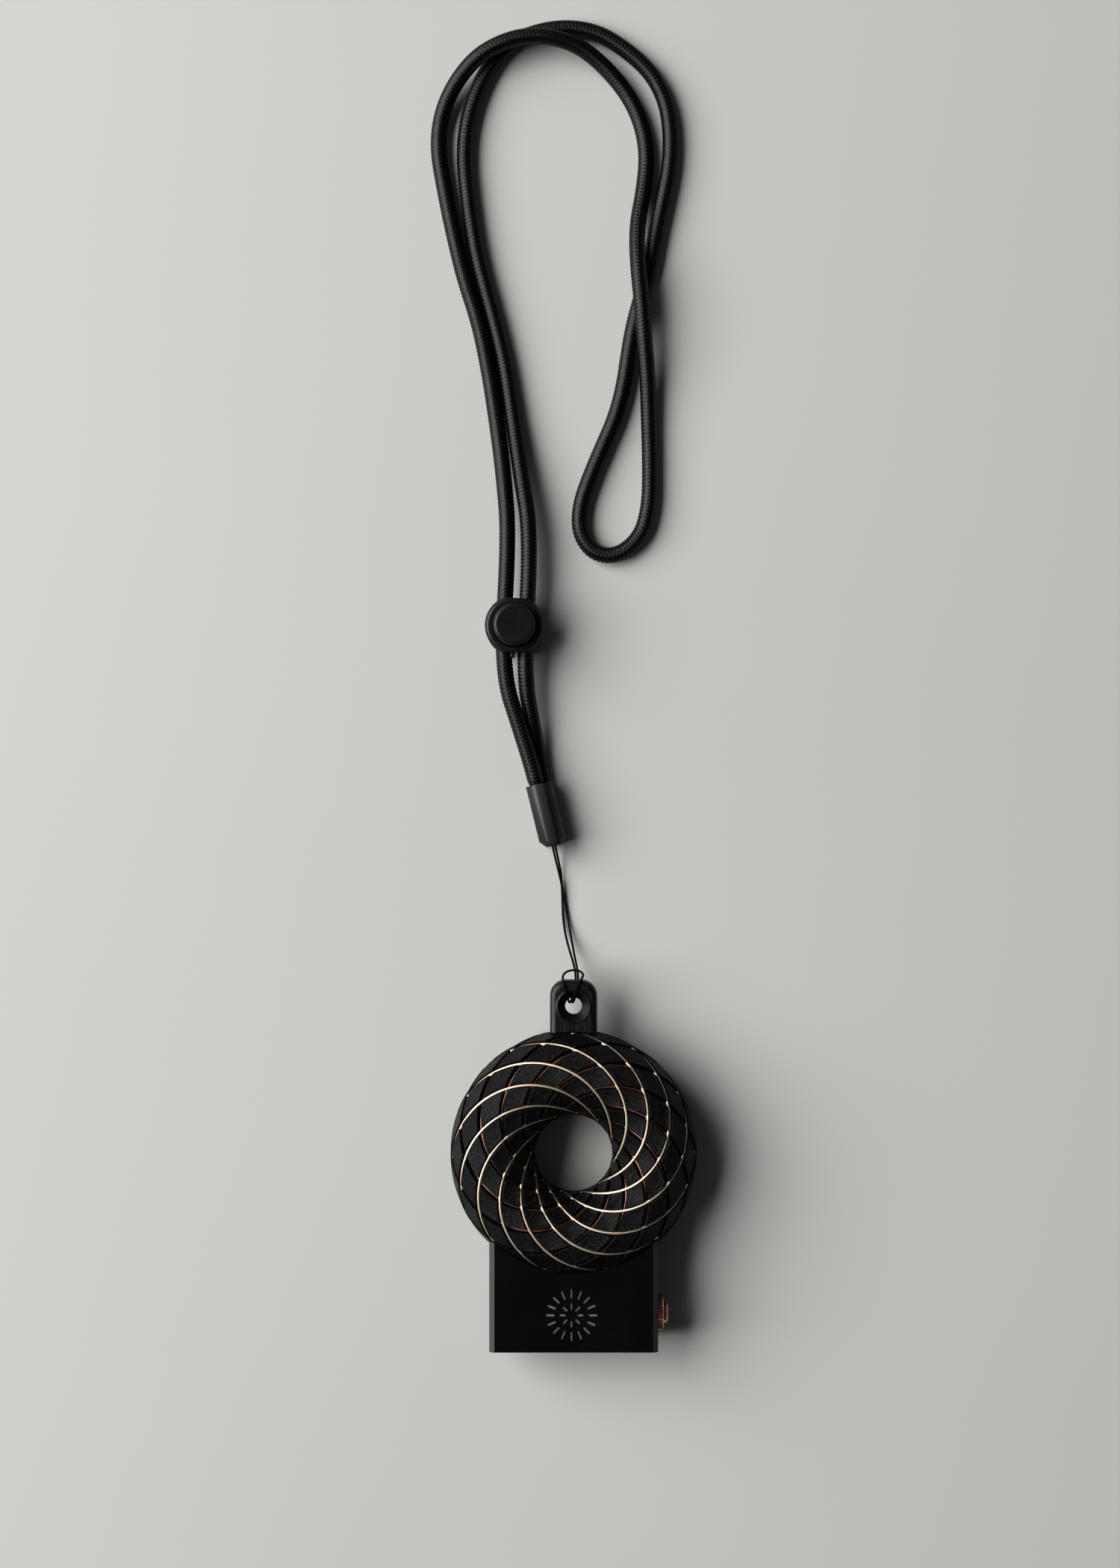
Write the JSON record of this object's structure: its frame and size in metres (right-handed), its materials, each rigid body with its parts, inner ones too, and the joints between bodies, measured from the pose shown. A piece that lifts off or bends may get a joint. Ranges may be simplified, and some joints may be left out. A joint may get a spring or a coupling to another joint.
{
  "type": "toroidal coil pendant",
  "caption": "Pendant with a copper-wound ring body on a small switch box, hung by a thin string from a braided neck lanyard with a cord lock",
  "frame": {"origin": "under the middle of the rigid pendant (ring, box, tab and button), on the surface that it lies on, face up", "axes": "+Z out of the pendant's front face, +Y from the box through the ring to the hang tab and lanyard, +X to the button's side"},
  "size_m": [0.087, 0.4344, 0.0276],
  "materials": {
    "printed_plastic": "black printed plastic with fine layer lines",
    "box_plastic": "smooth black plastic, satin",
    "copper_wire": "bare drawn copper wire",
    "copper_button": "copper-coloured metal",
    "steel": "plain steel",
    "contact_metal": "plated contact strip",
    "cell_steel": "nickel-plated can",
    "insert_plastic": "moulded plastic",
    "board_laminate": "green board laminate",
    "chip_plastic": "moulded chip body",
    "component_metal": "small metal cans",
    "lead_rubber": "wire insulation",
    "cord_braid": "black braided cord",
    "string_cord": "thin black waxed string",
    "sleeve_plastic": "moulded black sleeve",
    "lock_plastic": "satin black moulding"
  },
  "bodies": {
    "pendant": {"ring_front_half": "printed_plastic", "ring_back_half": "printed_plastic", "locating_pins": "steel", "winding_over_first": "copper_wire", "winding_over_second": "copper_wire", "winding_under_first": "copper_wire", "winding_under_second": "copper_wire", "hang_tab": "printed_plastic", "box_shell": "box_plastic", "back_cover": "box_plastic", "cover_screws": "steel", "button_bezel": "copper_button", "button_spring": "steel", "button_nut": "copper_button", "switch_insert": "insert_plastic", "switch_terminals": "contact_metal", "switch_leads": "lead_rubber", "circuit_board": "board_laminate", "board_screws": "steel", "driver_chip": "chip_plastic", "board_components": "component_metal", "cell_holder": "insert_plastic", "coin_cell": "cell_steel", "cell_contact": "contact_metal", "string_loop": "string_cord", "cord_sleeve": "sleeve_plastic", "neck_cord": "cord_braid"},
    "power_button": {"button_cap": "copper_button"},
    "cord_lock": {"lock_body": "lock_plastic", "lock_spring": "steel"},
    "lock_plunger": {"lock_button": "lock_plastic"}
  },
  "joints": [
    {"name": "button_press", "type": "slide", "parent": "pendant", "child": "power_button", "axis": [-1, 0, 0], "range_m": [0, 0.001], "stiffness_N_per_m": 1200, "springref_m": -0.0008, "deforming": ["button_spring"]},
    {"name": "lock_slide", "type": "slide", "parent": "pendant", "child": "cord_lock", "axis": [0.0624, 0.9981, 0], "range_m": [0, 0.016]},
    {"name": "lock_press", "type": "slide", "parent": "cord_lock", "child": "lock_plunger", "axis": [0, 0, -1], "range_m": [0, 0.002], "stiffness_N_per_m": 1500, "springref_m": -0.0015, "deforming": ["lock_spring"]}
  ]
}
